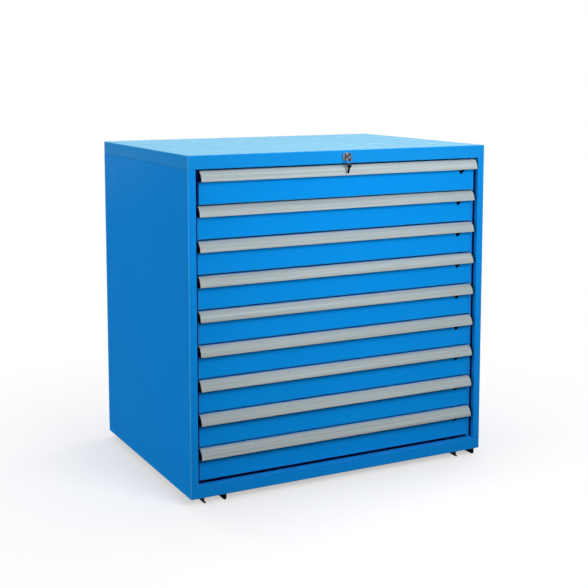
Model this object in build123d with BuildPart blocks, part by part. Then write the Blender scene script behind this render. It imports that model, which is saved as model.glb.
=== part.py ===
from build123d import *
import math
import os

os.makedirs("parts", exist_ok=True)

# Cabinet housing. The front is towards -Y and the floor is z = 0.
cabinet_width = 1023
cabinet_depth = 740
body_height = 1000
runner_height = 22
housing_sheet = 1.5
corner_bend = 3.0
top_skirt = 40
base_skirt = 37
seam_gap = 0.6
joggle_height = 30
stile_width = 24
reveal_depth = 15
ledge_depth = 24
ledge_lip = 8
rear_flange = 25

# Two lipped channels carry the housing, each placed by its own inset from its side.
runner_width = 74
runner_sheet = 3
runner_bend = 4
runner_lip = 8
runner_front_setback = 15
runner_rear_setback = 40
left_runner_inset = 82
right_runner_inset = 47

# Slotted uprights and the three members of each telescopic slide.
post_face_inset = 31.5
post_front_depth = 26
post_length = 72
post_front_flange = 8
slot_width = 4
slot_height = 14
slot_setback = 14
hook_width = 3
hook_height = 12
hook_reach = 4
rail_sheet = 1.5
rail_height = 44
rail_start_depth = 68
rail_rear_room = 52
rail_overhang = 30
rail_mouth_inset = 44.5
member_side_gap = 0.6
member_fit = 0.05

# Drawers.
drawer_count = 9
front_gap = 4.5
front_top_gap = 5
front_bottom_gap = 9
front_recess = 20
front_side_margin = 36
front_thickness = 15
front_bend = 2.0
front_flange = 16
drawer_sheet = 1.2
tray_side_inset = 46
tray_top_drop = 13
tray_rise = 8
tray_rim = 6
tray_tail = 3
rail_rise = 38
ajar_drawer = 1
ajar_opening = 13.5

# Aluminium handle section: reach in front of the panel and drop below its top edge.
handle_height = 30
handle_top_reach = 3
handle_middle_reach = 16
handle_middle_drop = 11
handle_reach = 21
handle_wall = 2
handle_leg = 12
handle_lip_height = 4
handle_lip_width = 4.5
label_channel_top = 8
label_channel_height = 16
label_channel_depth = 0.5
cap_thickness = 3

# Sliding finger latch under the handle.
latch_side_inset = 47
latch_width = 20
latch_thickness = 3
latch_top_drop = 14
latch_below_handle = 14.5
latch_toe_width = 5
latch_shoulder = 3
latch_gap = 0.1
latch_travel = 8
latch_boss_width = 10
latch_boss_height = 5.6
latch_boss_drop = 20
latch_nose_depth = 4
latch_nose_thickness = 7
latch_nose_reach = 3.5
latch_play = 0.4

# Central lock, its cam, the transfer rod and the locking bar.
lock_drop = 20
rosette_radius = 13
rosette_height = 6
rosette_chamfer = 1.2
barrel_radius = 9.5
barrel_hole_play = 0.1
barrel_length = 24
lock_nut_radius = 13.5
lock_nut_thickness = 4
plug_radius = 6.2
plug_clearance = 0.3
keyway_width = 2.2
keyway_height = 9
cam_thickness = 2
cam_turn = 90
cam_radius = 10
cam_width = 14
cam_pin_radius = 2.5
cam_gap = 1.5
cam_slot_play = 0.45
rod_thickness = 2
rod_gap = 2
rod_height = 20
rod_below_axis = 18
rod_plate_height = 32
rod_end = 22
follower_inset = 60
follower_radius = 3
follower_play = 0.3
follower_rise = 6
slot_edge = 5
bar_thickness = 1.5
bar_width = 20
bar_depth = 42
bar_fit = 0.1
bar_tab_height = 12
finger_thickness = 3
finger_height = 16
finger_reach_inset = 45
stud_width = 3
stud_length = 5
stud_height = 10
stud_top_drop = 16
stud_clearance = 2
lock_free_play = 16
guide_fit = 0.05
guide_wall = 1.95
guide_width = 20
guide_height = 8
rod_guide_start = 60
rod_guide_inset = 126.5

# Key.
key_thickness = 1.9
key_blade_height = 8
key_blade_length = 22
key_neck = 6
key_bow_length = 21
key_bow_height = 25
key_hole_radius = 4.8
key_bow_radius = 8

front_width = cabinet_width - 2 * front_side_margin
key_reach = rosette_height + key_neck + key_bow_length
front_y = -(cabinet_depth - key_reach) / 2
rear_y = front_y + cabinet_depth
body_top = runner_height + body_height
opening_top = body_top - top_skirt
opening_bottom = runner_height + base_skirt
lock_z = body_top - lock_drop
cam_travel = 2 * cam_radius * math.sin(math.radians(cam_turn / 2))

# The drawer fronts share the opening, and the slides take what depth the housing leaves.
fronts_room = opening_top - front_top_gap - opening_bottom - front_bottom_gap
front_pitch = (fronts_room + front_gap) / drawer_count
front_height = front_pitch - front_gap
rail_length = cabinet_depth - rail_start_depth - rail_rear_room
rear_slot_depth = rail_start_depth + rail_length - rail_overhang
rear_post_depth = rear_slot_depth + slot_setback - post_length
tray_height = front_height - tray_rise - tray_top_drop
tray_length = rail_start_depth + rail_length - tray_tail - front_recess - front_thickness


def from_side(side, inset):
    """X of a place that lies inset millimetres inside the left (-1) or right (1) outer side."""
    return side * (cabinet_width / 2 - inset)


def at_depth(depth):
    """Y of a place that lies depth millimetres behind the front plane of the housing."""
    return front_y + depth


def level(z):
    return Plane.XY.offset(z)


def facing(y):
    return Plane.XZ.offset(-y)


def across(x):
    return Plane.YZ.offset(x)


def area(first_from, first_to, second_from, second_to, mode=Mode.ADD):
    """A rectangle between two opposite corners of the sketch that is open."""
    centre = ((first_from + first_to) / 2, (second_from + second_to) / 2)
    with Locations(centre):
        Rectangle(abs(first_to - first_from), abs(second_to - second_from), mode=mode)


def save(piece, name):
    piece.part.label = name
    export_step(piece.part, f"parts/{name}.step")


def front_top(number):
    """Height of the upper edge of a drawer's front."""
    return opening_top - front_top_gap - (number - 1) * front_pitch


def rest_opening(number):
    return ajar_opening if number == ajar_drawer else 0


def rail_centre(number):
    return front_top(number) - front_height + tray_rise + rail_rise


# The top cover is a folded tray with a skirt all round and a ledge behind its front skirt.
with BuildPart() as top_cover:
    with BuildSketch(level(opening_top)):
        with Locations((0, front_y + cabinet_depth / 2)):
            RectangleRounded(cabinet_width, cabinet_depth, corner_bend)
    extrude(amount=top_skirt)
    fillet(top_cover.faces().sort_by(Axis.Z)[-1].edges(), corner_bend - housing_sheet / 2)
    with BuildSketch(level(opening_top)):
        with Locations((0, front_y + cabinet_depth / 2)):
            Rectangle(cabinet_width - 2 * housing_sheet, cabinet_depth - 2 * housing_sheet)
    extrude(amount=top_skirt - housing_sheet, mode=Mode.SUBTRACT)
    ledge_half = cabinet_width / 2 - stile_width
    with BuildSketch(across(-ledge_half)):
        area(front_y, at_depth(ledge_depth), opening_top, opening_top + housing_sheet)
        area(at_depth(ledge_depth - housing_sheet), at_depth(ledge_depth),
             opening_top, opening_top + ledge_lip)
    extrude(amount=2 * ledge_half)
    with BuildSketch(facing(front_y)):
        with Locations((0, lock_z)):
            Circle(barrel_radius + barrel_hole_play)
    extrude(amount=-housing_sheet, mode=Mode.SUBTRACT)
save(top_cover, "top_cover")

# The base pan is the same fold turned over, and its front ledge runs under the last drawer.
with BuildPart() as base_pan:
    with BuildSketch(level(runner_height)):
        with Locations((0, front_y + cabinet_depth / 2)):
            RectangleRounded(cabinet_width, cabinet_depth, corner_bend)
    extrude(amount=base_skirt)
    fillet(base_pan.faces().sort_by(Axis.Z)[0].edges(), corner_bend - housing_sheet / 2)
    with BuildSketch(level(runner_height + housing_sheet)):
        with Locations((0, front_y + cabinet_depth / 2)):
            Rectangle(cabinet_width - 2 * housing_sheet, cabinet_depth - 2 * housing_sheet)
    extrude(amount=base_skirt - housing_sheet, mode=Mode.SUBTRACT)
    with BuildSketch(across(-ledge_half)):
        area(front_y, at_depth(ledge_depth), opening_bottom - housing_sheet, opening_bottom)
        area(at_depth(ledge_depth - housing_sheet), at_depth(ledge_depth),
             opening_bottom - ledge_lip, opening_bottom)
    extrude(amount=2 * ledge_half)
save(base_pan, "base_pan")


def make_side_panel(side):
    """Outer sheet with the front stile, its reveal, a rear flange and a joggle at each seam."""
    outer = from_side(side, 0)
    inner = from_side(side, housing_sheet)
    second = from_side(side, 2 * housing_sheet)
    stile_edge = from_side(side, stile_width)
    flange_y = rear_y - 2 * housing_sheet
    lower = opening_bottom + seam_gap
    upper = opening_top - seam_gap
    with BuildPart() as panel:
        with BuildSketch(level(lower)):
            area(outer, inner, front_y, rear_y - housing_sheet)
            area(outer, stile_edge, front_y, at_depth(housing_sheet))
            area(stile_edge, from_side(side, stile_width - housing_sheet),
                 front_y, at_depth(reveal_depth))
            area(outer, from_side(side, rear_flange), flange_y, rear_y - housing_sheet)
        extrude(amount=upper - lower)
        upright_edges = panel.edges().filter_by(Axis.Z)
        front_corner = upright_edges.sort_by_distance((outer, front_y, (lower + upper) / 2))[0]
        fillet(front_corner, corner_bend)
        for seam in (lower, upper):
            with BuildSketch(level(seam - joggle_height / 2)):
                area(inner, second, at_depth(2 * housing_sheet), flange_y)
            extrude(amount=joggle_height)
    return panel


for side, panel_name in ((-1, "side_panel_left"), (1, "side_panel_right")):
    save(make_side_panel(side), panel_name)

# The back panel lies on the rear flanges and laps behind both skirts.
with BuildPart() as back_panel:
    back_half = cabinet_width / 2 - 2 * housing_sheet
    with BuildSketch(facing(rear_y)):
        area(-back_half, back_half, opening_bottom + seam_gap, opening_top - seam_gap)
    extrude(amount=housing_sheet)
    lap_half = cabinet_width / 2 - rear_flange - housing_sheet
    with BuildSketch(facing(rear_y - housing_sheet)):
        for seam in (opening_bottom, opening_top):
            area(-lap_half, lap_half, seam - joggle_height / 2, seam + joggle_height / 2)
    extrude(amount=housing_sheet)
save(back_panel, "back_panel")

# Four uprights stand on the floor of the base pan and carry the slides in their slots.
with BuildPart() as uprights:
    post_foot = runner_height + housing_sheet
    post_height = body_height - 2 * housing_sheet
    slot_rows = [rail_centre(number) + half * front_pitch / 2
                 for number in range(1, drawer_count + 1) for half in (0, 1)]
    for side in (-1, 1):
        face = from_side(side, post_face_inset)
        for depth in (post_front_depth, rear_post_depth):
            web_back = from_side(side, post_face_inset - housing_sheet)
            with BuildSketch(level(post_foot)):
                area(face, web_back, at_depth(depth), at_depth(depth + post_length))
                area(face, from_side(side, post_face_inset - post_front_flange),
                     at_depth(depth), at_depth(depth + housing_sheet))
                area(face, from_side(side, 2 * housing_sheet),
                     at_depth(depth + post_length - housing_sheet), at_depth(depth + post_length))
            extrude(amount=post_height)
            slot_y = at_depth(depth + post_length - slot_setback)
            with BuildSketch(across(min(face, web_back))):
                for slot_z in slot_rows:
                    area(slot_y - slot_width / 2, slot_y + slot_width / 2,
                         slot_z - slot_height / 2, slot_z + slot_height / 2)
            extrude(amount=housing_sheet, mode=Mode.SUBTRACT)
save(uprights, "uprights")

# One fixed member for each side of each drawer, hooked into the uprights.
with BuildPart() as fixed_rails:
    for side in (-1, 1):
        face = from_side(side, post_face_inset)
        web = from_side(side, post_face_inset + rail_sheet)
        mouth = from_side(side, rail_mouth_inset)
        for number in range(1, drawer_count + 1):
            middle = rail_centre(number)
            half = rail_height / 2
            with BuildSketch(facing(at_depth(rail_start_depth + rail_length))):
                area(face, web, middle - half, middle + half)
                area(face, mouth, middle + half - rail_sheet, middle + half)
                area(face, mouth, middle - half, middle - half + rail_sheet)
            extrude(amount=rail_length)
            for depth in (post_front_depth, rear_post_depth):
                hook_y = at_depth(depth + post_length - slot_setback)
                with BuildSketch(across(min(face, face + side * hook_reach))):
                    area(hook_y - hook_width / 2, hook_y + hook_width / 2,
                         middle - hook_height / 2, middle + hook_height / 2)
                extrude(amount=hook_reach)
save(fixed_rails, "fixed_rails")

# The floor runners run from front to back under the base pan, with their open side down.
with BuildPart() as floor_runners:
    for centre_x in (from_side(-1, left_runner_inset), from_side(1, right_runner_inset)):
        mouth_half = runner_width / 2 - runner_lip
        with BuildSketch(facing(rear_y - runner_rear_setback)):
            with Locations((centre_x, runner_height / 2)):
                RectangleRounded(runner_width, runner_height, runner_bend)
                Rectangle(runner_width - 2 * runner_sheet, runner_height - 2 * runner_sheet,
                          mode=Mode.SUBTRACT)
            area(centre_x - mouth_half, centre_x + mouth_half, 0, runner_sheet, mode=Mode.SUBTRACT)
        extrude(amount=cabinet_depth - runner_front_setback - runner_rear_setback)
save(floor_runners, "floor_runners")

# The lock barrel is turned, with a chamfered rosette, and a hexagon nut holds it in the skirt.
lock_axis = Axis((0, 0, lock_z), (0, 1, 0))
rosette_y = front_y - rosette_height
barrel_end_y = at_depth(barrel_length)
with BuildPart() as lock_barrel:
    with BuildSketch(across(0)):
        with BuildLine():
            bore = lock_z + plug_radius + plug_clearance
            Polyline(
                (rosette_y, bore),
                (rosette_y, lock_z + rosette_radius - rosette_chamfer),
                (rosette_y + rosette_chamfer, lock_z + rosette_radius),
                (front_y, lock_z + rosette_radius),
                (front_y, lock_z + barrel_radius),
                (barrel_end_y, lock_z + barrel_radius),
                (barrel_end_y, bore),
                close=True,
            )
        make_face()
    revolve(axis=lock_axis)
    with BuildSketch(facing(at_depth(housing_sheet + lock_nut_thickness))):
        with Locations((0, lock_z)):
            RegularPolygon(lock_nut_radius, 6)
            Circle(barrel_radius, mode=Mode.SUBTRACT)
    extrude(amount=lock_nut_thickness)
save(lock_barrel, "lock_barrel")

# The plug turns in the barrel, and the cam plate on its rear end carries the drive pin.
cam_y = barrel_end_y + cam_gap
rod_y = cam_y + cam_thickness + rod_gap
pin_x = cam_travel / 2
pin_z = lock_z - cam_travel / 2
with BuildPart() as lock_plug:
    with BuildSketch(facing(cam_y)):
        with Locations((0, lock_z)):
            Circle(plug_radius)
    extrude(amount=cam_y - rosette_y)
    with BuildSketch(facing(rosette_y + key_blade_length)):
        with Locations((0, lock_z)):
            Rectangle(keyway_width, keyway_height)
    extrude(amount=key_blade_length, mode=Mode.SUBTRACT)
    with BuildSketch(facing(cam_y + cam_thickness)):
        with Locations((pin_x / 2, (lock_z + pin_z) / 2)):
            SlotCenterToCenter(cam_radius, cam_width, rotation=-cam_turn / 2)
    extrude(amount=cam_thickness)
    with BuildSketch(facing(rod_y + rod_thickness + rod_gap)):
        with Locations((pin_x, pin_z)):
            Circle(cam_pin_radius)
    extrude(amount=rod_thickness + 2 * rod_gap)
save(lock_plug, "lock_plug")

# The key: a blade that seats at the end of the keyway, a neck and a bow with a round hole.
bow_y = rosette_y - key_neck - key_bow_length / 2
with BuildPart() as key:
    with BuildSketch(across(-key_thickness / 2)):
        area(bow_y, rosette_y + key_blade_length,
             lock_z - key_blade_height / 2, lock_z + key_blade_height / 2)
        with Locations((bow_y, lock_z)):
            RectangleRounded(key_bow_length, key_bow_height, key_bow_radius)
            Circle(key_hole_radius, mode=Mode.SUBTRACT)
    extrude(amount=key_thickness)
save(key, "key")

# The transfer rod has an upright slot for the cam pin and a slanted one that moves the bar.
follower_x = from_side(1, follower_inset)
follower_z = lock_z + follower_rise
rod_bottom = lock_z - rod_below_axis
slot_room = follower_radius + follower_play + slot_edge
rod_right = follower_x + cam_travel + slot_room
with BuildPart() as transfer_rod:
    with BuildSketch(facing(rod_y + rod_thickness)):
        area(-rod_end, rod_right, rod_bottom, rod_bottom + rod_height)
        area(follower_x - slot_room, rod_right, rod_bottom, rod_bottom + rod_plate_height)
        with Locations((pin_x, lock_z - (cam_radius + cam_travel / 2) / 2)):
            SlotCenterToCenter(cam_radius - cam_travel / 2, 2 * (cam_pin_radius + cam_slot_play),
                               rotation=90, mode=Mode.SUBTRACT)
        with Locations((follower_x + cam_travel / 2, follower_z - cam_travel / 2)):
            SlotCenterToCenter(math.hypot(cam_travel, cam_travel), 2 * (follower_radius + follower_play),
                               rotation=-45, mode=Mode.SUBTRACT)
    extrude(amount=rod_thickness)
save(transfer_rod, "transfer_rod")

# Two hangers under the top cover guide the rod.
with BuildPart() as rod_guides:
    for guide_x in (rod_guide_start, from_side(1, rod_guide_inset)):
        with BuildSketch(across(guide_x - guide_width / 2)):
            area(rod_y - guide_wall, rod_y + rod_thickness + guide_wall,
                 rod_bottom - guide_wall, body_top - housing_sheet)
            area(rod_y - guide_fit, rod_y + rod_thickness + guide_fit,
                 rod_bottom - guide_fit, rod_bottom + rod_height + guide_fit, mode=Mode.SUBTRACT)
        extrude(amount=guide_width)
save(rod_guides, "rod_guides")


def finger_bottom(number):
    return front_top(number) - stud_top_drop + stud_clearance


# The locking bar hangs from its follower pin, with one finger over the stud of each drawer.
bar_back = at_depth(bar_depth + bar_width)
bar_outer = from_side(1, post_face_inset + bar_fit)
bar_inner = from_side(1, post_face_inset + bar_fit + bar_thickness)
bar_top = follower_z + bar_tab_height / 2
with BuildPart() as locking_bar:
    with BuildSketch(facing(bar_back)):
        area(bar_outer, bar_inner, finger_bottom(drawer_count), bar_top)
    extrude(amount=bar_width)
    with BuildSketch(facing(at_depth(bar_depth + bar_thickness))):
        area(follower_x - bar_tab_height / 2, bar_outer, follower_z - bar_tab_height / 2, bar_top)
    extrude(amount=bar_thickness)
    with BuildSketch(facing(at_depth(bar_depth))):
        with Locations((follower_x, follower_z)):
            Circle(follower_radius)
    extrude(amount=at_depth(bar_depth) - rod_y + rod_gap)
    for number in range(1, drawer_count + 1):
        with BuildSketch(facing(at_depth(bar_depth + finger_thickness))):
            area(bar_outer, from_side(1, finger_reach_inset),
                 finger_bottom(number), finger_bottom(number) + finger_height)
        extrude(amount=finger_thickness)
save(locking_bar, "locking_bar")

# Clips on the front right upright hold the bar against it.
with BuildPart() as bar_guides:
    clip_inner = from_side(1, post_face_inset + bar_fit + bar_thickness + guide_fit + housing_sheet)
    clip_channel = from_side(1, post_face_inset + bar_fit + bar_thickness + guide_fit)
    clip_face = from_side(1, post_face_inset)
    for number in (1, (drawer_count + 1) // 2, drawer_count - 1):
        clip_z = rail_centre(number) - rail_height / 2 - 2 * guide_height
        with BuildSketch(level(clip_z)):
            area(clip_face, clip_inner, at_depth(bar_depth) - guide_wall, bar_back + guide_wall)
            area(clip_face, clip_channel, at_depth(bar_depth) - guide_fit, bar_back + guide_fit,
                 mode=Mode.SUBTRACT)
        extrude(amount=guide_height)
save(bar_guides, "bar_guides")

# The slide members nest in each other: fixed, intermediate and drawer member.
inner_half = rail_height / 2 - rail_sheet - member_fit
drawer_half = inner_half - rail_sheet - member_fit
inner_web_inset = post_face_inset + rail_sheet + member_side_gap
drawer_flange_inset = inner_web_inset + rail_sheet + member_side_gap


def make_slides(number):
    """Both intermediate members of one drawer, which travel half as far as the drawer."""
    middle = rail_centre(number)
    back_y = at_depth(rail_start_depth + rail_length) - rest_opening(number) / 2
    with BuildPart() as slides:
        for side in (-1, 1):
            web = from_side(side, inner_web_inset)
            mouth = from_side(side, rail_mouth_inset)
            with BuildSketch(facing(back_y)):
                area(web, from_side(side, inner_web_inset + rail_sheet),
                     middle - inner_half, middle + inner_half)
                area(web, mouth, middle + inner_half - rail_sheet, middle + inner_half)
                area(web, mouth, middle - inner_half, middle - inner_half + rail_sheet)
            extrude(amount=rail_length)
    return slides


def make_tray(number):
    """Folded front and tray, with the drawer members of the slides and the locking stud."""
    opened = rest_opening(number)
    face_y = at_depth(front_recess) - opened
    tray_y = face_y + front_thickness
    top = front_top(number)
    bottom = top - front_height
    foot = bottom + tray_rise
    middle = rail_centre(number)
    half_front = front_width / 2
    half_tray = cabinet_width / 2 - tray_side_inset
    latch_x = half_front - latch_side_inset
    boss_z = top - latch_boss_drop
    with BuildPart() as tray:
        with BuildSketch(facing(tray_y)):
            area(-half_front, half_front, bottom, top)
        extrude(amount=front_thickness)
        fillet(tray.faces().sort_by(Axis.Y)[0].edges(), front_bend)
        with BuildSketch(facing(tray_y - drawer_sheet)):
            area(-half_front + drawer_sheet, half_front - drawer_sheet,
                 bottom + drawer_sheet, top - drawer_sheet)
        extrude(amount=front_thickness - 2 * drawer_sheet, mode=Mode.SUBTRACT)
        with BuildSketch(facing(tray_y)):
            area(-half_front + front_flange, half_front - front_flange,
                 bottom + front_flange, top - front_flange)
        extrude(amount=drawer_sheet, mode=Mode.SUBTRACT)
        with BuildSketch(level(foot)):
            area(-half_tray, half_tray, tray_y, tray_y + tray_length)
        extrude(amount=tray_height)
        with BuildSketch(level(foot + drawer_sheet)):
            area(-half_tray + drawer_sheet, half_tray - drawer_sheet,
                 tray_y + drawer_sheet, tray_y + tray_length - drawer_sheet)
        extrude(amount=tray_height - 2 * drawer_sheet, mode=Mode.SUBTRACT)
        with BuildSketch(level(foot + tray_height - drawer_sheet)):
            area(-half_tray + tray_rim, half_tray - tray_rim,
                 tray_y + tray_rim, tray_y + tray_length - tray_rim)
        extrude(amount=drawer_sheet, mode=Mode.SUBTRACT)
        for side in (-1, 1):
            wall = from_side(side, tray_side_inset)
            lip = from_side(side, drawer_flange_inset)
            with BuildSketch(facing(at_depth(rail_start_depth + rail_length) - opened)):
                area(wall, from_side(side, rail_mouth_inset),
                     middle - drawer_half, middle + drawer_half)
                area(wall, lip, middle + drawer_half - rail_sheet, middle + drawer_half)
                area(wall, lip, middle - drawer_half, middle - drawer_half + rail_sheet)
            extrude(amount=rail_length)
        stud_y = at_depth(bar_depth + finger_thickness + lock_free_play) - opened
        with BuildSketch(facing(stud_y + stud_length)):
            area(half_tray, half_tray + stud_width,
                 top - stud_top_drop - stud_height, top - stud_top_drop)
        extrude(amount=stud_length)
        with BuildSketch(facing(face_y + drawer_sheet)):
            area(latch_x - latch_boss_width / 2 - latch_travel - latch_play,
                 latch_x + latch_boss_width / 2 + latch_play,
                 boss_z - latch_boss_height / 2 - latch_play,
                 boss_z + latch_boss_height / 2 + latch_play)
        extrude(amount=drawer_sheet, mode=Mode.SUBTRACT)
        nose_y = face_y + latch_nose_depth
        with BuildSketch(across(half_front - drawer_sheet)):
            area(nose_y - latch_play, nose_y + latch_nose_thickness + latch_play,
                 boss_z - latch_boss_height / 2 - latch_play,
                 boss_z + latch_boss_height / 2 + latch_play)
        extrude(amount=drawer_sheet, mode=Mode.SUBTRACT)
    return tray


def skin_line(face_y, top, inset=0, drop=0):
    """Upper point, middle point and lower point of the handle's curved skin."""
    return (
        (face_y - handle_top_reach, top - drop),
        (face_y - handle_middle_reach + inset, top - handle_middle_drop - drop / 2),
        (face_y - handle_reach + inset, top - handle_height),
    )


def make_handle(number):
    """Extruded grip with a leg on the panel, a curved skin and a thick lower lip."""
    face_y = at_depth(front_recess) - rest_opening(number)
    top = front_top(number)
    outer = skin_line(face_y, top)
    inner = skin_line(face_y, top, handle_wall, handle_wall)
    lip_back = outer[2][0] + handle_lip_width
    lip_top = top - handle_height + handle_lip_height
    with BuildPart() as handle:
        with BuildSketch(across(-front_width / 2)):
            with BuildLine():
                Line((face_y, top), outer[0])
                ThreePointArc(*outer)
                Line(outer[2], (face_y, top - handle_height))
                Line((face_y, top - handle_height), (face_y, top))
            make_face()
            with BuildLine():
                Line((face_y, top - handle_wall), inner[0])
                ThreePointArc(*inner)
                Line(inner[2], (face_y, top - handle_height))
                Line((face_y, top - handle_height), (face_y, top - handle_wall))
            make_face(mode=Mode.SUBTRACT)
            area(face_y - handle_wall, face_y, top - handle_leg, top)
            area(outer[2][0] + handle_wall / 2, lip_back, top - handle_height, lip_top)
        extrude(amount=front_width)
        channel = [(y + label_channel_depth, z) for y, z in outer]
        clear_y = face_y - 2 * handle_reach
        with BuildSketch(across(-front_width / 2)):
            with BuildLine():
                Line((clear_y, top), channel[0])
                ThreePointArc(*channel)
                Line(channel[2], (clear_y, top - handle_height))
                Line((clear_y, top - handle_height), (clear_y, top))
            make_face()
            area(clear_y, face_y, top - label_channel_top - label_channel_height,
                 top - label_channel_top, mode=Mode.INTERSECT)
        extrude(amount=front_width, mode=Mode.SUBTRACT)
    return handle


def make_end_caps(number):
    """A moulded cap closes each end of the handle."""
    face_y = at_depth(front_recess) - rest_opening(number)
    top = front_top(number)
    outer = skin_line(face_y, top)
    with BuildPart() as caps:
        for start in (-front_width / 2 - cap_thickness, front_width / 2):
            with BuildSketch(across(start)):
                with BuildLine():
                    Line((face_y, top), outer[0])
                    ThreePointArc(*outer)
                    Line(outer[2], (face_y, top - handle_height))
                    Line((face_y, top - handle_height), (face_y, top))
                make_face()
            extrude(amount=cap_thickness)
    return caps


def make_latch(number):
    """Tapered finger tab, a boss through the panel and a nose that leaves its right edge."""
    face_y = at_depth(front_recess) - rest_opening(number)
    top = front_top(number)
    tab_x = front_width / 2 - latch_side_inset
    tab_top = top - latch_top_drop
    shoulder = top - handle_height - latch_shoulder
    toe = top - handle_height - latch_below_handle
    boss_z = top - latch_boss_drop
    nose_y = face_y + latch_nose_depth
    half = latch_width / 2
    with BuildPart() as latch:
        with BuildSketch(facing(face_y - latch_gap)):
            with BuildLine():
                Polyline(
                    (tab_x - half, tab_top),
                    (tab_x + half, tab_top),
                    (tab_x + half, shoulder),
                    (tab_x - half + latch_toe_width + latch_shoulder, toe),
                    (tab_x - half + latch_shoulder, toe),
                    (tab_x - half, shoulder),
                    close=True,
                )
            make_face()
        extrude(amount=latch_thickness)
        with BuildSketch(facing(nose_y + latch_nose_thickness)):
            with Locations((tab_x, boss_z)):
                Rectangle(latch_boss_width, latch_boss_height)
        extrude(amount=latch_nose_depth + latch_nose_thickness + latch_gap)
        with BuildSketch(facing(nose_y + latch_nose_thickness)):
            area(tab_x - latch_boss_width / 2, front_width / 2 + latch_nose_reach,
                 boss_z - latch_boss_height / 2, boss_z + latch_boss_height / 2)
        extrude(amount=latch_nose_thickness)
    return latch


for number in range(1, drawer_count + 1):
    save(make_tray(number), f"drawer_{number}_tray")
    save(make_handle(number), f"drawer_{number}_handle")
    save(make_end_caps(number), f"drawer_{number}_end_caps")
    save(make_latch(number), f"drawer_{number}_latch")
    save(make_slides(number), f"drawer_{number}_slides")
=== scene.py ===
import math

import bmesh
import bpy
from mathutils import Matrix, Vector


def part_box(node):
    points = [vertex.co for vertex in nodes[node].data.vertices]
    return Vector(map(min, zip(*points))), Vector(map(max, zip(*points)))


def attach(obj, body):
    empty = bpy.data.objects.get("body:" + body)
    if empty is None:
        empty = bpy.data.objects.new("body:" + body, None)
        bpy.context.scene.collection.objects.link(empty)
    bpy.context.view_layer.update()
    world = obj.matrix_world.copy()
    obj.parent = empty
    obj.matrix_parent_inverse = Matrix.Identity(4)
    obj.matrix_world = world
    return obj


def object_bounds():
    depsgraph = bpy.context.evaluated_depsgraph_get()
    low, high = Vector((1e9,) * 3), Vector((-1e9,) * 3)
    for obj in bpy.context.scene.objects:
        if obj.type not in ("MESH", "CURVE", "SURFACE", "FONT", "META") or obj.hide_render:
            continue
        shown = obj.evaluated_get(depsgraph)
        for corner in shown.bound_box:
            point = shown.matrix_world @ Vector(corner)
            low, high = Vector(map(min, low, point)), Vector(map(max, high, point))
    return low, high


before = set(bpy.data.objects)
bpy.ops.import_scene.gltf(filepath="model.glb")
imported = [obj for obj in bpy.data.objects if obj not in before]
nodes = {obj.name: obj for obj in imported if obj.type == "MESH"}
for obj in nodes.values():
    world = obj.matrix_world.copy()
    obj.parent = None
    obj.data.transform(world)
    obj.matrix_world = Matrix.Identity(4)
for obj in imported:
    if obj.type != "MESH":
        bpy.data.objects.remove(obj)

cadLow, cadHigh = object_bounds()
drawerCount = sum(1 for name in nodes if name.endswith("_tray"))

# Camera at the photograph's angle, a little shifted so that the uprights stay nearly parallel
cameraSetup = {
    "place": (-1.7253, -3.3405, 1.2595),
    "azimuth": 27.4175,
    "pitch": 6.5334,
    "lens": 70.45,
    "sensor": 36,
    "shift": -0.1565,
    "reach": (0.05, 200),
}


def makeCamera():
    data = bpy.data.cameras.new("camera")
    data.sensor_width = cameraSetup["sensor"]
    data.lens = cameraSetup["lens"]
    data.shift_y = cameraSetup["shift"]
    data.dof.use_dof = False
    data.clip_start, data.clip_end = cameraSetup["reach"]
    camera = bpy.data.objects.new("camera", data)
    camera.location = cameraSetup["place"]
    camera.rotation_euler = (
        math.radians(90 - cameraSetup["pitch"]),
        0,
        -math.radians(cameraSetup["azimuth"]),
    )
    bpy.context.scene.collection.objects.link(camera)
    bpy.context.scene.camera = camera


makeCamera()
print("camera placed")


# Small helpers for node trees
def addNode(tree, kind, place=(0, 0), **settings):
    node = tree.nodes.new(kind)
    node.location = place
    for key, value in settings.items():
        if key == "inputs":
            for socket, content in value.items():
                node.inputs[socket].default_value = content
        else:
            setattr(node, key, value)
    return node


def join(tree, source, target):
    tree.links.new(source, target)


def newGroup(name, takes, gives):
    group = bpy.data.node_groups.new(name, "ShaderNodeTree")
    for label, kind, value in takes:
        socket = group.interface.new_socket(name=label, in_out="INPUT", socket_type=kind)
        socket.default_value = value
    for label, kind in gives:
        group.interface.new_socket(name=label, in_out="OUTPUT", socket_type=kind)
    entry = addNode(group, "NodeGroupInput", (-900, 0))
    leave = addNode(group, "NodeGroupOutput", (700, 0))
    return group, entry, leave


def placeGroup(tree, group, place, **values):
    node = addNode(tree, "ShaderNodeGroup", place)
    node.node_tree = group
    for label, value in values.items():
        node.inputs[label].default_value = value
    return node


floatKind = "NodeSocketFloat"
colourKind = "NodeSocketColor"
vectorKind = "NodeSocketVector"


# A colour Mix node carries its share in socket 0, its colours in 6 and 7 and its result in 2
def mixColours(tree, place, share, first, second):
    node = addNode(tree, "ShaderNodeMix", place, data_type="RGBA")
    for index, content in ((0, share), (6, first), (7, second)):
        socket = node.inputs[index]
        if isinstance(content, (tuple, float)):
            socket.default_value = content
        else:
            join(tree, content, socket)
    return node.outputs[2]


# Powder coat: fine orange peel, soft cloudy change of shade and a slight change of gloss
coatNoise = {
    "cloud": {"Scale": 2.3, "Detail": 4.0, "Roughness": 0.55},
    "peel": {"Detail": 2.0, "Roughness": 0.5},
    "smear": {"Scale": 9.0, "Detail": 5.0, "Roughness": 0.6},
}


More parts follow.
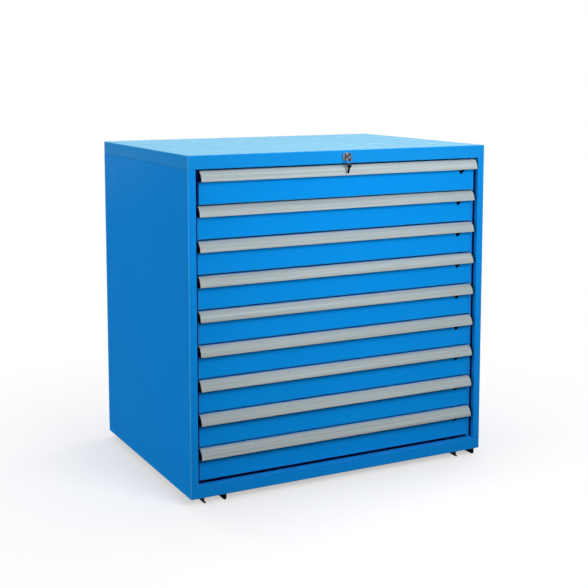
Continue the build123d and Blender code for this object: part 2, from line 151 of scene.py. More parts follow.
def makePowderCoat():
    group, entry, leave = newGroup(
        "powderCoat",
        [("Colour", colourKind, (0, 0.3, 0.8, 1)), ("Shade", floatKind, 0.06),
         ("PeelScale", floatKind, 900.0), ("Gloss", floatKind, 0.35),
         ("GlossChange", floatKind, 0.06)],
        [("Colour", colourKind), ("Roughness", floatKind), ("Height", floatKind)],
    )
    spot = addNode(group, "ShaderNodeTexCoord", (-900, -300))
    cloud = addNode(group, "ShaderNodeTexNoise", (-650, 200), inputs=coatNoise["cloud"])
    peel = addNode(group, "ShaderNodeTexNoise", (-650, -100), inputs=coatNoise["peel"])
    smear = addNode(group, "ShaderNodeTexNoise", (-650, -400), inputs=coatNoise["smear"])
    for noise in (cloud, peel, smear):
        join(group, spot.outputs["Object"], noise.inputs["Vector"])
    join(group, entry.outputs["PeelScale"], peel.inputs["Scale"])
    centred = addNode(group, "ShaderNodeMath", (-430, 200), operation="SUBTRACT", inputs={1: 0.5})
    join(group, cloud.outputs["Fac"], centred.inputs[0])
    scaled = addNode(group, "ShaderNodeMath", (-250, 200), operation="MULTIPLY")
    join(group, centred.outputs[0], scaled.inputs[0])
    join(group, entry.outputs["Shade"], scaled.inputs[1])
    lift = addNode(group, "ShaderNodeMath", (-80, 200), operation="ADD", inputs={1: 1.0})
    join(group, scaled.outputs[0], lift.inputs[0])
    tint = addNode(group, "ShaderNodeHueSaturation", (120, 200))
    join(group, entry.outputs["Colour"], tint.inputs["Color"])
    join(group, lift.outputs[0], tint.inputs["Value"])
    join(group, tint.outputs["Color"], leave.inputs["Colour"])
    smearCentred = addNode(group, "ShaderNodeMath", (-430, -400), operation="SUBTRACT",
                           inputs={1: 0.5})
    join(group, smear.outputs["Fac"], smearCentred.inputs[0])
    smearScaled = addNode(group, "ShaderNodeMath", (-250, -400), operation="MULTIPLY")
    join(group, smearCentred.outputs[0], smearScaled.inputs[0])
    join(group, entry.outputs["GlossChange"], smearScaled.inputs[1])
    rough = addNode(group, "ShaderNodeMath", (-80, -400), operation="ADD")
    join(group, smearScaled.outputs[0], rough.inputs[0])
    join(group, entry.outputs["Gloss"], rough.inputs[1])
    join(group, rough.outputs[0], leave.inputs["Roughness"])
    join(group, peel.outputs["Fac"], leave.inputs["Height"])
    return group


# Edge mask: where a rounded normal leaves the true one, and where sheet is bent round a corner. In
# the paints this mask lays a painted highlight along edges and bends.
edgeNoise = {"Detail": 5.0, "Roughness": 0.7}
edgeGate = {"From Min": 0.42, "From Max": 0.68}
bendRange = {"From Min": 0.995, "From Max": 0.90}  # largest part of the normal: flat, bent


def makeEdgeMask():
    group, entry, leave = newGroup(
        "edgeMask",
        [("Radius", floatKind, 0.0012), ("Spread", floatKind, 1.0), ("Breakup", floatKind, 40.0),
         ("Even", floatKind, 0.0), ("Bends", floatKind, 0.0)],
        [("Mask", floatKind), ("Normal", vectorKind)],
    )
    rounded = addNode(group, "ShaderNodeBevel", (-650, 200), samples=4)
    join(group, entry.outputs["Radius"], rounded.inputs["Radius"])
    true = addNode(group, "ShaderNodeNewGeometry", (-650, -50))
    dot = addNode(group, "ShaderNodeVectorMath", (-430, 100), operation="DOT_PRODUCT")
    join(group, rounded.outputs["Normal"], dot.inputs[0])
    join(group, true.outputs["Normal"], dot.inputs[1])
    away = addNode(group, "ShaderNodeMath", (-250, 100), operation="SUBTRACT", inputs={0: 1.0})
    join(group, dot.outputs["Value"], away.inputs[1])
    spot = addNode(group, "ShaderNodeTexCoord", (-850, -300))
    noise = addNode(group, "ShaderNodeTexNoise", (-650, -300), inputs=edgeNoise)
    join(group, spot.outputs["Object"], noise.inputs["Vector"])
    join(group, entry.outputs["Breakup"], noise.inputs["Scale"])
    gate = addNode(group, "ShaderNodeMapRange", (-430, -300), inputs=edgeGate)
    join(group, noise.outputs["Fac"], gate.inputs["Value"])
    kept = addNode(group, "ShaderNodeMath", (-250, -250), operation="MAXIMUM")
    join(group, gate.outputs["Result"], kept.inputs[0])
    join(group, entry.outputs["Even"], kept.inputs[1])
    product = addNode(group, "ShaderNodeMath", (-80, 0), operation="MULTIPLY")
    join(group, away.outputs[0], product.inputs[0])
    join(group, kept.outputs[0], product.inputs[1])
    strength = addNode(group, "ShaderNodeMath", (100, 0), operation="MULTIPLY", use_clamp=True)
    join(group, product.outputs[0], strength.inputs[0])
    join(group, entry.outputs["Spread"], strength.inputs[1])
    # Flat sheet faces one axis, so a normal between two axes lies on a bend
    size = addNode(group, "ShaderNodeVectorMath", (-650, -550), operation="ABSOLUTE")
    join(group, spot.outputs["Normal"], size.inputs[0])
    parts = addNode(group, "ShaderNodeSeparateXYZ", (-480, -550))
    join(group, size.outputs[0], parts.inputs[0])
    wider = addNode(group, "ShaderNodeMath", (-320, -500), operation="MAXIMUM")
    join(group, parts.outputs["X"], wider.inputs[0])
    join(group, parts.outputs["Y"], wider.inputs[1])
    largest = addNode(group, "ShaderNodeMath", (-160, -550), operation="MAXIMUM")
    join(group, wider.outputs[0], largest.inputs[0])
    join(group, parts.outputs["Z"], largest.inputs[1])
    bendHighlight = addNode(group, "ShaderNodeMapRange", (0, -550), inputs=bendRange)
    join(group, largest.outputs[0], bendHighlight.inputs["Value"])
    bendHighlightShare = addNode(group, "ShaderNodeMath", (170, -550), operation="MULTIPLY")
    join(group, bendHighlight.outputs["Result"], bendHighlightShare.inputs[0])
    join(group, entry.outputs["Bends"], bendHighlightShare.inputs[1])
    both = addNode(group, "ShaderNodeMath", (350, -200), operation="MAXIMUM")
    join(group, strength.outputs[0], both.inputs[0])
    join(group, bendHighlightShare.outputs[0], both.inputs[1])
    join(group, both.outputs[0], leave.inputs["Mask"])
    join(group, rounded.outputs["Normal"], leave.inputs["Normal"])
    return group


# Dust that settles on faces that look up; the paints tint it pale cyan, so it is also a painted
# reflection that lightens upward faces
dustSheenNoise = {"Detail": 6.0, "Roughness": 0.65}
dustSheenSlope = {"From Min": 0.55, "From Max": 1.0}  # how far a face has to look up


def makeDustAndSheen():
    group, entry, leave = newGroup(
        "dustAndSheen",
        [("Amount", floatKind, 0.15), ("Scale", floatKind, 14.0), ("Even", floatKind, 0.0)],
        [("Mask", floatKind)],
    )
    shape = addNode(group, "ShaderNodeNewGeometry", (-850, 100))
    split = addNode(group, "ShaderNodeSeparateXYZ", (-650, 100))
    join(group, shape.outputs["Normal"], split.inputs[0])
    upward = addNode(group, "ShaderNodeMapRange", (-430, 100), inputs=dustSheenSlope)
    join(group, split.outputs["Z"], upward.inputs["Value"])
    spot = addNode(group, "ShaderNodeTexCoord", (-850, -200))
    noise = addNode(group, "ShaderNodeTexNoise", (-650, -200), inputs=dustSheenNoise)
    join(group, spot.outputs["Object"], noise.inputs["Vector"])
    join(group, entry.outputs["Scale"], noise.inputs["Scale"])
    calm = addNode(group, "ShaderNodeMath", (-430, -200), operation="MAXIMUM")
    join(group, noise.outputs["Fac"], calm.inputs[0])
    join(group, entry.outputs["Even"], calm.inputs[1])
    cover = addNode(group, "ShaderNodeMath", (-200, 0), operation="MULTIPLY")
    join(group, upward.outputs["Result"], cover.inputs[0])
    join(group, calm.outputs[0], cover.inputs[1])
    amount = addNode(group, "ShaderNodeMath", (0, 0), operation="MULTIPLY", use_clamp=True)
    join(group, cover.outputs[0], amount.inputs[0])
    join(group, entry.outputs["Amount"], amount.inputs[1])
    join(group, amount.outputs[0], leave.inputs["Mask"])
    return group


# Grain of drawn or brushed metal: noise stretched along one direction
grainNoise = {"Scale": 1.0, "Detail": 3.0, "Roughness": 0.6}


def makeMetalGrain():
    group, entry, leave = newGroup(
        "metalGrain",
        [("Colour", colourKind, (0.7, 0.7, 0.7, 1)), ("Along", vectorKind, (3.0, 900.0, 900.0)),
         ("Contrast", floatKind, 0.12), ("Gloss", floatKind, 0.35),
         ("GlossChange", floatKind, 0.12)],
        [("Colour", colourKind), ("Roughness", floatKind), ("Height", floatKind)],
    )
    spot = addNode(group, "ShaderNodeTexCoord", (-900, -250))
    stretch = addNode(group, "ShaderNodeVectorMath", (-700, -150), operation="MULTIPLY")
    join(group, spot.outputs["Object"], stretch.inputs[0])
    join(group, entry.outputs["Along"], stretch.inputs[1])
    grain = addNode(group, "ShaderNodeTexNoise", (-500, -150), inputs=grainNoise)
    join(group, stretch.outputs[0], grain.inputs["Vector"])
    centred = addNode(group, "ShaderNodeMath", (-300, 100), operation="SUBTRACT", inputs={1: 0.5})
    join(group, grain.outputs["Fac"], centred.inputs[0])
    change = addNode(group, "ShaderNodeMath", (-120, 100), operation="MULTIPLY_ADD",
                     inputs={2: 1.0})
    join(group, centred.outputs[0], change.inputs[0])
    join(group, entry.outputs["Contrast"], change.inputs[1])
    tint = addNode(group, "ShaderNodeHueSaturation", (100, 200))
    join(group, entry.outputs["Colour"], tint.inputs["Color"])
    join(group, change.outputs[0], tint.inputs["Value"])
    join(group, tint.outputs["Color"], leave.inputs["Colour"])
    rough = addNode(group, "ShaderNodeMath", (100, -150), operation="MULTIPLY_ADD")
    join(group, centred.outputs[0], rough.inputs[0])
    join(group, entry.outputs["GlossChange"], rough.inputs[1])
    join(group, entry.outputs["Gloss"], rough.inputs[2])
    join(group, rough.outputs[0], leave.inputs["Roughness"])
    join(group, grain.outputs["Fac"], leave.inputs["Height"])
    return group


# Spot welds: shallow round dents in two upright rows, an equal distance apart. The back paint also
# darkens each dent with this mask as painted shade.
weldCore = 0.55  # flat middle of a dent, as a share of its radius


def makeSpotWelds():
    group, entry, leave = newGroup(
        "spotWelds",
        [("Row", floatKind, 0.48), ("Pitch", floatKind, 0.104), ("Radius", floatKind, 0.0062)],
        [("Mask", floatKind)],
    )
    spot = addNode(group, "ShaderNodeTexCoord", (-850, 0))
    split = addNode(group, "ShaderNodeSeparateXYZ", (-680, 0))
    join(group, spot.outputs["Object"], split.inputs[0])
    sideways = addNode(group, "ShaderNodeMath", (-500, 150), operation="ABSOLUTE")
    join(group, split.outputs["X"], sideways.inputs[0])
    offRow = addNode(group, "ShaderNodeMath", (-330, 150), operation="SUBTRACT")
    join(group, sideways.outputs[0], offRow.inputs[0])
    join(group, entry.outputs["Row"], offRow.inputs[1])
    halfPitch = addNode(group, "ShaderNodeMath", (-500, -150), operation="MULTIPLY",
                        inputs={1: 0.5})
    join(group, entry.outputs["Pitch"], halfPitch.inputs[0])
    offMark = addNode(group, "ShaderNodeMath", (-330, -150), operation="PINGPONG")
    join(group, split.outputs["Z"], offMark.inputs[0])
    join(group, halfPitch.outputs[0], offMark.inputs[1])
    offset = addNode(group, "ShaderNodeCombineXYZ", (-160, 0))
    join(group, offRow.outputs[0], offset.inputs["X"])
    join(group, offMark.outputs[0], offset.inputs["Y"])
    reach = addNode(group, "ShaderNodeVectorMath", (0, 0), operation="LENGTH")
    join(group, offset.outputs[0], reach.inputs[0])
    core = addNode(group, "ShaderNodeMath", (0, -200), operation="MULTIPLY",
                   inputs={1: weldCore})
    join(group, entry.outputs["Radius"], core.inputs[0])
    mark = addNode(group, "ShaderNodeMapRange", (250, 0), interpolation_type="SMOOTHSTEP",
                   inputs={"To Min": 1.0, "To Max": 0.0})
    join(group, reach.outputs["Value"], mark.inputs["Value"])
    join(group, core.outputs[0], mark.inputs["From Min"])
    join(group, entry.outputs["Radius"], mark.inputs["From Max"])
    join(group, mark.outputs["Result"], leave.inputs["Mask"])
    return group


powderCoat = makePowderCoat()
edgeMask = makeEdgeMask()
dustAndSheen = makeDustAndSheen()
metalGrain = makeMetalGrain()
spotWelds = makeSpotWelds()


def newMaterial(name):
    material = bpy.data.materials.new(name)
    material.use_nodes = True
    tree = material.node_tree
    tree.nodes.clear()
    shader = addNode(tree, "ShaderNodeBsdfPrincipled", (500, 0))
    end = addNode(tree, "ShaderNodeOutputMaterial", (800, 0))
    join(tree, shader.outputs["BSDF"], end.inputs["Surface"])
    return material, tree, shader


def setShader(shader, **values):
    for label, value in values.items():
        shader.inputs[label.replace("_", " ")].default_value = value


bumpDepth = 0.0002


def addBump(tree, shader, height, strength, normal):
    bump = addNode(tree, "ShaderNodeBump", (250, -300),
                   inputs={"Strength": strength, "Distance": bumpDepth})
    join(tree, height, bump.inputs["Height"])
    join(tree, normal, bump.inputs["Normal"])
    join(tree, bump.outputs["Normal"], shader.inputs["Normal"])


paintLook = {
    # The cover's blue is a less deep copy of the housing paint: painted light for how the top is
    # lit
    "cover": {"colour": (0.0070, 0.250, 0.670, 1), "gloss": 0.27, "dustSheen": 0.05,
              "edge": 0.0022, "sheen": 1.0},
    "housing": {"colour": (0.0050, 0.248, 0.725, 1), "gloss": 0.27, "dustSheen": 0.02,
                "edge": 0.0022, "sheen": 0.0},
    "front": {"colour": (0.0035, 0.258, 0.735, 1), "gloss": 0.30, "dustSheen": 0.02,
              "edge": 0.0036, "sheen": 0.0},
    # Lighter blue along edges and bends: a painted highlight
    "bendHighlight": (0.060, 0.38, 0.76, 1),
    "bendHighlightShare": 0.9,
    "edgeHighlightSpread": 1.6,
    # Pale cyan on upward faces: partly dust, partly a painted reflection of bright surroundings on
    # the top
    "dustSheenColour": (0.365, 0.750, 0.690, 1),
    "dustSheenEven": 0.68,
    "sheenRoughness": 0.3,
    "sheenTint": (0.220, 0.377, 0.320, 1),
    "weldRow": 0.478,
    "weldDent": 0.0010,
    # Darker blue in each weld dent: painted shade
    "weldShadeColour": (0.0035, 0.185, 0.560, 1),
    "specular": 0.001,
    "peel": 0.05,
}


# The sheen makes the cover pale where it is seen at a low angle
def makePaint(name, look, welded=False):
    material, tree, shader = newMaterial(name)
    coat = placeGroup(tree, powderCoat, (-500, 100), Colour=look["colour"], Gloss=look["gloss"])
    edges = placeGroup(tree, edgeMask, (-500, -250), Radius=look["edge"],
                       Spread=paintLook["edgeHighlightSpread"], Even=paintLook["bendHighlightShare"],
                       Bends=paintLook["bendHighlightShare"])
    dustSheen = placeGroup(tree, dustAndSheen, (-500, -500), Amount=look["dustSheen"],
                      Even=paintLook["dustSheenEven"])
    # Painted highlight along edges and bends
    edgeHighlighted = mixColours(tree, (-200, 150), edges.outputs["Mask"], coat.outputs["Colour"],
                      paintLook["bendHighlight"])
    # Upward faces tinted pale cyan: dust and a painted reflection
    shown = mixColours(tree, (50, 150), dustSheen.outputs["Mask"], edgeHighlighted, paintLook["dustSheenColour"])
    normal = edges.outputs["Normal"]
    if welded:
        marks = placeGroup(tree, spotWelds, (-500, -950), Row=paintLook["weldRow"])
        dent = addNode(tree, "ShaderNodeBump", (0, -800), invert=True,
                       inputs={"Strength": 1.0, "Distance": paintLook["weldDent"]})
        join(tree, marks.outputs["Mask"], dent.inputs["Height"])
        join(tree, normal, dent.inputs["Normal"])
        normal = dent.outputs["Normal"]
        # Painted shade: each dent is darkened
        shown = mixColours(tree, (250, 150), marks.outputs["Mask"], shown,
                           paintLook["weldShadeColour"])
    join(tree, shown, shader.inputs["Base Color"])
    join(tree, coat.outputs["Roughness"], shader.inputs["Roughness"])
    setShader(shader, Metallic=0.0, Specular_IOR_Level=paintLook["specular"],
              Sheen_Weight=look["sheen"], Sheen_Roughness=paintLook["sheenRoughness"],
              Sheen_Tint=paintLook["sheenTint"])
    addBump(tree, shader, coat.outputs["Height"], paintLook["peel"], normal)
    return material


metalLook = {
    "aluminium": {"colour": (0.375, 0.428, 0.438, 1), "along": (1.5, 280.0, 280.0),
                  "gloss": 0.44, "metal": 0.12, "contrast": 0.90, "change": 0.16,
                  "bump": 0.03, "edge": 0.0004, "specular": 0.3},
    "strip": {"colour": (0.364, 0.420, 0.428, 1), "along": (1.0, 230.0, 230.0),
              "gloss": 0.40, "metal": 0.0, "contrast": 1.00, "change": 0.10,
              "bump": 0.0, "edge": 0.0002, "specular": 0.12},
    "zinc": {"colour": (0.37, 0.39, 0.40, 1), "along": (60.0, 60.0, 60.0),
             "gloss": 0.42, "metal": 0.9, "contrast": 0.35, "change": 0.2,
             "bump": 0.02, "edge": 0.0004, "specular": 0.5},
    "chrome": {"colour": (0.33, 0.35, 0.37, 1), "along": (90.0, 90.0, 90.0),
               "gloss": 0.14, "metal": 1.0, "contrast": 0.04, "change": 0.08,
               "bump": 0.0, "edge": 0.0003, "specular": 0.5},
    "nickel": {"colour": (0.26, 0.26, 0.26, 1), "along": (400.0, 40.0, 400.0),
               "gloss": 0.24, "metal": 1.0, "contrast": 0.15, "change": 0.2,
               "bump": 0.02, "edge": 0.0002, "specular": 0.5},
}


def makeMetal(name, look):
    material, tree, shader = newMaterial(name)
    grain = placeGroup(tree, metalGrain, (-450, 100), Colour=look["colour"], Along=look["along"],
                       Contrast=look["contrast"], Gloss=look["gloss"], GlossChange=look["change"])
    edges = placeGroup(tree, edgeMask, (-450, -250), Radius=look["edge"])
    join(tree, grain.outputs["Colour"], shader.inputs["Base Color"])
    join(tree, grain.outputs["Roughness"], shader.inputs["Roughness"])
    setShader(shader, Metallic=look["metal"], Specular_IOR_Level=look["specular"])
    addBump(tree, shader, grain.outputs["Height"], look["bump"], edges.outputs["Normal"])
    return material


plasticLook = {
    "black": {"colour": (0.0012, 0.0034, 0.0100, 1), "gloss": 0.55, "shade": 0.3,
              "grain": 1600.0, "bump": 0.06, "edge": 0.0004, "specular": 0.03},
    "runner": {"colour": (0.0012, 0.0020, 0.0060, 1), "gloss": 0.55, "shade": 0.3,
               "grain": 1600.0, "bump": 0.06, "edge": 0.0004, "specular": 0.08},
}


def makePlastic(name, look):
    material, tree, shader = newMaterial(name)
    coat = placeGroup(tree, powderCoat, (-450, 100), Colour=look["colour"], Gloss=look["gloss"],
                      Shade=look["shade"], PeelScale=look["grain"])
    edges = placeGroup(tree, edgeMask, (-450, -250), Radius=look["edge"])
    join(tree, coat.outputs["Colour"], shader.inputs["Base Color"])
    join(tree, coat.outputs["Roughness"], shader.inputs["Roughness"])
    setShader(shader, Metallic=0.0, Specular_IOR_Level=look["specular"])
    addBump(tree, shader, coat.outputs["Height"], look["bump"], edges.outputs["Normal"])
    return material


materials = {
    "cover": makePaint("topLitCoverBlue", paintLook["cover"]),
    "housing": makePaint("housingBlue", paintLook["housing"]),
    "back": makePaint("backBlue", paintLook["housing"], welded=True),
    "front": makePaint("frontBlue", paintLook["front"]),
    "aluminium": makeMetal("drawnAluminium", metalLook["aluminium"]),
    "zinc": makeMetal("galvanisedSteel", metalLook["zinc"]),
    "chrome": makeMetal("polishedChrome", metalLook["chrome"]),
    "nickel": makeMetal("nickelKey", metalLook["nickel"]),
    "black": makePlastic("blackPlastic", plasticLook["black"]),
    "runner": makePlastic("runnerBlack", plasticLook["runner"]),
    "strip": makeMetal("labelStrip", metalLook["strip"]),
}
print("materials made")

nodeFinish = {
    "top_cover": "cover", "base_pan": "housing", "side_panel_left": "housing",
    "side_panel_right": "housing", "back_panel": "back", "uprights": "housing",
    "fixed_rails": "zinc", "rod_guides": "zinc", "bar_guides": "zinc",
    "transfer_rod": "zinc", "locking_bar": "zinc", "floor_runners": "runner",
    "lock_barrel": "chrome", "lock_plug": "chrome", "key": "nickel",
}
drawerFinish = {"tray": "front", "handle": "aluminium", "end_caps": "black",
                "latch": "black", "slides": "zinc"}


def dressNode(name, finish):
    node = nodes[name]
    node.data.materials.clear()
    node.data.materials.append(materials[finish])


for name, finish in nodeFinish.items():
    dressNode(name, finish)
for number in range(1, drawerCount + 1):
    for piece, finish in drawerFinish.items():
        dressNode(f"drawer_{number}_{piece}", finish)
print("frame dressed")


def finishMesh(name, mesh, material, smooth=True):
    data = bpy.data.meshes.new(name)
    mesh.to_mesh(data)
    mesh.free()
    piece = bpy.data.objects.new(name, data)
    bpy.context.scene.collection.objects.link(piece)
    data.materials.append(materials[material])
    for face in data.polygons:
        face.use_smooth = smooth
    return piece


# Label strip: a thin slip pressed into the channel of each handle, short of both ends
labelSetup = {"topDrop": 0.0084, "bottomDrop": 0.0236, "endInset": 0.0045,
              "channelDepth": 0.0005, "thickness": 0.00035, "sink": 0.00002, "steps": 10}
# Three points of the handle's curved skin: how far it reaches out, and how far down
handleSkin = {"topReach": 0.003, "middleReach": 0.016, "middleDrop": 0.011,
              "reach": 0.021, "height": 0.030}


def circleThrough(first, middle, last):
    a, b, c = Vector(first), Vector(middle), Vector(last)
    aa, bb, cc = a.length_squared, b.length_squared, c.length_squared
    double = 2 * (a.x * (b.y - c.y) + b.x * (c.y - a.y) + c.x * (a.y - b.y))
    x = aa * (b.y - c.y) + bb * (c.y - a.y) + cc * (a.y - b.y)
    y = aa * (c.x - b.x) + bb * (a.x - c.x) + cc * (b.x - a.x)
    centre = Vector((x / double, y / double))
    return centre, (a - centre).length


def makeLabelStrip(number):
    low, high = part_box(f"drawer_{number}_handle")
    centre, radius = circleThrough(
        (handleSkin["topReach"], 0.0),
        (handleSkin["middleReach"], handleSkin["middleDrop"]),
        (handleSkin["reach"], handleSkin["height"]),
    )
    look = labelSetup
    channelFloor = look["channelDepth"] + look["sink"]
    steps = look["steps"]
    outline = []
    for depth in (channelFloor, channelFloor - look["thickness"]):
        row = []
        for step in range(steps + 1):
            drop = look["topDrop"] + (look["bottomDrop"] - look["topDrop"]) * step / steps
            reach = centre.x + math.sqrt(radius ** 2 - (drop - centre.y) ** 2) - depth
            row.append((high.y - reach, high.z - drop))
        outline += row if not outline else row[::-1]
    mesh = bmesh.new()
    left = [mesh.verts.new((low.x + look["endInset"], y, z)) for y, z in outline]
    right = [mesh.verts.new((high.x - look["endInset"], y, z)) for y, z in outline]
    for index in range(len(outline)):
        following = (index + 1) % len(outline)
        mesh.faces.new((left[index], left[following], right[following], right[index]))
    mesh.faces.new(left[::-1])
    mesh.faces.new(right)
    bmesh.ops.recalc_face_normals(mesh, faces=mesh.faces)
    piece = finishMesh(f"label_strip_{number}", mesh, "strip", smooth=False)
    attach(piece, f"drawer_{number}")


for number in range(1, drawerCount + 1):
    makeLabelStrip(number)
print("label strips made")


# A wire ring hangs in the bow of the key, and the spare key hangs from the ring
ringSetup = {"radius": 0.0082, "wire": 0.0008, "turn": 48, "round": 10}
spareSetup = {"turn": 60, "lean": 12, "headWidth": 0.0125, "headHeight": 0.0150,
              "headThick": 0.0034, "roundness": 0.0055, "cornerSteps": 6,
              "edgeWidth": 0.0007, "edgeSegments": 2, "hole": 0.0024, "holeInset": 0.0046}
bladeSetup = {"width": 0.0066, "length": 0.0175, "thick": 0.0020, "overlap": 0.0008,
              "backTip": 0.002, "frontTip": 0.003, "teeth": 5, "toothDepth": 0.0011,
              "toothStart": 0.0015, "toothRoom": 0.72, "leastDepth": 0.55,
              "notch": 0.35, "crest": 0.85}
keyBow = {"length": 0.021, "hole": 0.0048}  # its length along the axis, its hole below the axis


def hangingPoint():
    low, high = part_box("key")
    axisHeight = (low.z + high.z) / 2
    return Vector(((low.x + high.x) / 2, low.y + keyBow["length"] / 2, axisHeight - keyBow["hole"]))


def makeKeyRing():
    top = hangingPoint() + Vector((0, 0, ringSetup["wire"]))
    centre = top - Vector((0, 0, ringSetup["radius"]))
    mesh = bmesh.new()
    loops = []
    for step in range(ringSetup["turn"]):
        around = 2 * math.pi * step / ringSetup["turn"]
        outward = Vector((math.sin(around), 0, math.cos(around)))
        loop = []
        for side in range(ringSetup["round"]):
            angle = 2 * math.pi * side / ringSetup["round"]
            offset = outward * math.cos(angle) + Vector((0, 1, 0)) * math.sin(angle)
            middle = centre + outward * ringSetup["radius"]
            loop.append(mesh.verts.new(middle + offset * ringSetup["wire"]))
        loops.append(loop)
    for first, second in zip(loops, loops[1:] + loops[:1]):
        for side in range(ringSetup["round"]):
            other = (side + 1) % ringSetup["round"]
            mesh.faces.new((first[side], first[other], second[other], second[side]))
    bmesh.ops.recalc_face_normals(mesh, faces=mesh.faces)
    piece = finishMesh("key_ring", mesh, "nickel")
    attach(piece, "root")
    return centre - Vector((0, 0, ringSetup["radius"]))


def roundedOutline(width, height, radius, steps):
    points = []
    for quarter, (sx, sz) in enumerate(((1, 1), (-1, 1), (-1, -1), (1, -1))):
        corner = Vector((sx * (width / 2 - radius), sz * (height / 2 - radius)))
        for step in range(steps + 1):
            angle = math.pi / 2 * (quarter + step / steps)
            points.append(corner + Vector((math.cos(angle), math.sin(angle))) * radius)
    return points


def holedPlate(mesh, outline, holeCentre, holeRadius, thickness):
    count = len(outline)
    rims = []
    for x in (-thickness / 2, thickness / 2):
        outer = [mesh.verts.new((x, p.x, p.y)) for p in outline]
        inner = []
        for p in outline:
            outward = (p - holeCentre).normalized() * holeRadius + holeCentre
            inner.append(mesh.verts.new((x, outward.x, outward.y)))
        rims.append((outer, inner))
    for index in range(count):
        other = (index + 1) % count
        for outer, inner in rims:
            mesh.faces.new((outer[index], outer[other], inner[other], inner[index]))
        for near, far in zip(*rims):
            mesh.faces.new((near[index], near[other], far[other], far[index]))


def placeSpare(piece, wireLow):
    look = spareSetup
    holeTop = wireLow.z + ringSetup["wire"]
    holeCentre = Vector((wireLow.x, wireLow.y, holeTop - look["hole"]))
    lean = Matrix.Rotation(math.radians(look["lean"]), 4, "Y")
    turn = Matrix.Rotation(math.radians(look["turn"]), 4, "Z")
    piece.matrix_world = Matrix.Translation(holeCentre) @ lean @ turn


def makeSpareHead(wireLow):
    look = spareSetup
    headMiddle = look["holeInset"] - look["headHeight"] / 2
    mesh = bmesh.new()
    outline = [p + Vector((0, headMiddle)) for p in roundedOutline(
        look["headWidth"], look["headHeight"], look["roundness"], look["cornerSteps"])]
    holedPlate(mesh, outline, Vector((0, 0)), look["hole"], look["headThick"])
    bmesh.ops.recalc_face_normals(mesh, faces=mesh.faces)
    head = finishMesh("spare_key_head", mesh, "black", smooth=False)
    bevel = head.modifiers.new("softEdges", "BEVEL")
    bevel.width = look["edgeWidth"]
    bevel.segments = look["edgeSegments"]
    bevel.limit_method = "ANGLE"
    placeSpare(head, wireLow)
    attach(head, "root")


def makeSpareBlade(wireLow):
    look = bladeSetup
    bladeTop = spareSetup["holeInset"] - spareSetup["headHeight"] + look["overlap"]
    tip = bladeTop - look["length"]
    half = look["width"] / 2
    backTip = look["backTip"]
    edge = [(-half, bladeTop), (-half, tip + backTip), (-half + backTip, tip),
            (half - look["frontTip"], tip)]
    toothRoom = look["length"] * look["toothRoom"]
    moreDepth = 1 - look["leastDepth"]
    for tooth in range(look["teeth"]):
        base = tip + look["toothStart"] + toothRoom * tooth / look["teeth"]
        cut = (tooth * 2) % 3 / 2
        depth = look["toothDepth"] * (look["leastDepth"] + moreDepth * cut)
        edge.append((half - depth, base + toothRoom * look["notch"] / look["teeth"]))
        edge.append((half, base + toothRoom * look["crest"] / look["teeth"]))
    edge.append((half, bladeTop))
    mesh = bmesh.new()
    near, far = ([mesh.verts.new((x, y, z)) for y, z in edge]
                 for x in (-look["thick"] / 2, look["thick"] / 2))
    for index in range(len(edge)):
        other = (index + 1) % len(edge)
        mesh.faces.new((near[index], near[other], far[other], far[index]))
    mesh.faces.new(near)
    mesh.faces.new(far[::-1])
    bmesh.ops.recalc_face_normals(mesh, faces=mesh.faces)
    blade = finishMesh("spare_key_blade", mesh, "black", smooth=False)
    placeSpare(blade, wireLow)
    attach(blade, "root")


wireLow = makeKeyRing()
makeSpareHead(wireLow)
makeSpareBlade(wireLow)
print("key ring and spare key hung")


# Floor and light
floorSetup = {"half": 30.0, "gap": 0.0002, "rough": 0.9, "seen": 0.93, "bounce": 0.05,
              "glow": 1.0, "near": 0.55, "far": 1.7, "lift": 0.52}
# Seen straight on in the chrome rosette, the front lamp would burn out, so it isn't mirrored
lightSetup = {
    "front": {"place": (0.15, -1.82, 1.35), "aim": (0.05, -0.35, 0.90), "size": 1.0,
              "power": 30, "mirrored": False},
    "side": {"place": (-4.4, -0.2, 1.2), "aim": (-0.5, 0.0, 0.5), "size": 2.4,
             "power": 100, "mirrored": True},
    "top": {"place": (0.1, 0.5, 3.6), "aim": (0.0, 0.1, 1.0), "size": 2.2,
            "power": 46, "mirrored": True},
    "right": {"place": (3.6, 1.2, 1.6), "aim": (0.5, 0.1, 0.5), "size": 2.4,
              "power": 60, "mirrored": True},
    "back": {"place": (-0.6, 4.0, 1.6), "aim": (0.0, 0.35, 0.5), "size": 2.4,
             "power": 60, "mirrored": True},
}
worldSetup = {"ambient": 0.18, "seen": 1.0}


# 1 where the camera, a reflection or glass looks at the surface, and 0 for light that bounces
def lightPathMask(tree, place):
    x, y = place
    path = addNode(tree, "ShaderNodeLightPath", place)
    first = addNode(tree, "ShaderNodeMath", (x + 200, y), operation="ADD", use_clamp=True)
    second = addNode(tree, "ShaderNodeMath", (x + 400, y), operation="ADD", use_clamp=True)
    join(tree, path.outputs["Is Camera Ray"], first.inputs[0])
    join(tree, path.outputs["Is Glossy Ray"], first.inputs[1])
    join(tree, first.outputs[0], second.inputs[0])
    join(tree, path.outputs["Is Transmission Ray"], second.inputs[1])
    return second.outputs[0]


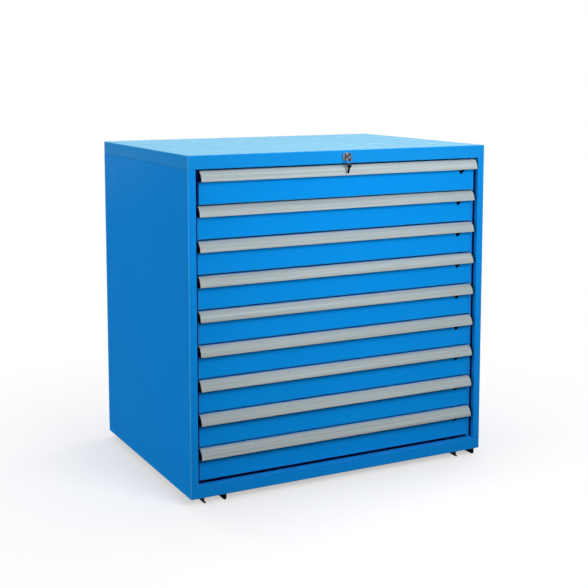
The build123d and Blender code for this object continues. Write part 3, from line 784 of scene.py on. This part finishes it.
def makeFloor():
    look = floorSetup
    mesh = bmesh.new()
    bmesh.ops.create_grid(mesh, x_segments=2, y_segments=2, size=look["half"])
    data = bpy.data.meshes.new("floor")
    mesh.to_mesh(data)
    mesh.free()
    floor = bpy.data.objects.new("floor", data)
    floor.location.z = cadLow.z - look["gap"]
    bpy.context.scene.collection.objects.link(floor)
    material, tree, shader = newMaterial("paleFloor")
    seen = lightPathMask(tree, (-800, 200))
    dark, light = ((level, level, level, 1) for level in (look["bounce"], look["seen"]))
    join(tree, mixColours(tree, (0, 200), seen, dark, light), shader.inputs["Base Color"])
    setShader(shader, Roughness=look["rough"], Specular_IOR_Level=0.0)
    # Away from the cabinet the floor turns into the plain white of the backdrop
    spot = addNode(tree, "ShaderNodeTexCoord", (-800, -200))
    reach = addNode(tree, "ShaderNodeVectorMath", (-600, -200), operation="LENGTH")
    join(tree, spot.outputs["Object"], reach.inputs[0])
    fade = addNode(tree, "ShaderNodeMapRange", (-400, -200), interpolation_type="SMOOTHSTEP",
                   inputs={"From Min": look["near"], "From Max": look["far"],
                           "To Min": look["lift"]})
    join(tree, reach.outputs["Value"], fade.inputs["Value"])
    share = addNode(tree, "ShaderNodeMath", (-200, -200), operation="MULTIPLY")
    join(tree, fade.outputs["Result"], share.inputs[0])
    join(tree, seen, share.inputs[1])
    glow = addNode(tree, "ShaderNodeEmission", (300, -250), inputs={"Strength": look["glow"]})
    blend = addNode(tree, "ShaderNodeMixShader", (650, -100))
    join(tree, share.outputs[0], blend.inputs[0])
    join(tree, shader.outputs["BSDF"], blend.inputs[1])
    join(tree, glow.outputs[0], blend.inputs[2])
    end = next(node for node in tree.nodes if node.type == "OUTPUT_MATERIAL")
    join(tree, blend.outputs[0], end.inputs["Surface"])
    data.materials.append(material)


def makeLights():
    for name, look in lightSetup.items():
        data = bpy.data.lights.new(name, "AREA")
        data.shape = "SQUARE"
        data.size = look["size"]
        data.energy = look["power"]
        lamp = bpy.data.objects.new(name, data)
        lamp.location = look["place"]
        lamp.visible_camera = False
        lamp.visible_glossy = look["mirrored"]
        towards = Vector(look["aim"]) - Vector(look["place"])
        lamp.rotation_euler = towards.to_track_quat("-Z", "Y").to_euler()
        bpy.context.scene.collection.objects.link(lamp)


def makeWorld():
    world = bpy.data.worlds.new("studio")
    bpy.context.scene.world = world
    world.use_nodes = True
    tree = world.node_tree
    tree.nodes.clear()
    seen = lightPathMask(tree, (-800, 0))
    level = addNode(tree, "ShaderNodeMapRange", (-150, 0),
                    inputs={"To Min": worldSetup["ambient"], "To Max": worldSetup["seen"]})
    join(tree, seen, level.inputs["Value"])
    background = addNode(tree, "ShaderNodeBackground", (100, 0),
                         inputs={"Color": (1, 1, 1, 1)})
    join(tree, level.outputs["Result"], background.inputs["Strength"])
    end = addNode(tree, "ShaderNodeOutputWorld", (300, 0))
    join(tree, background.outputs[0], end.inputs["Surface"])


makeFloor()
makeLights()
makeWorld()
bpy.context.scene.view_settings.view_transform = "Standard"
print("stage and light set")
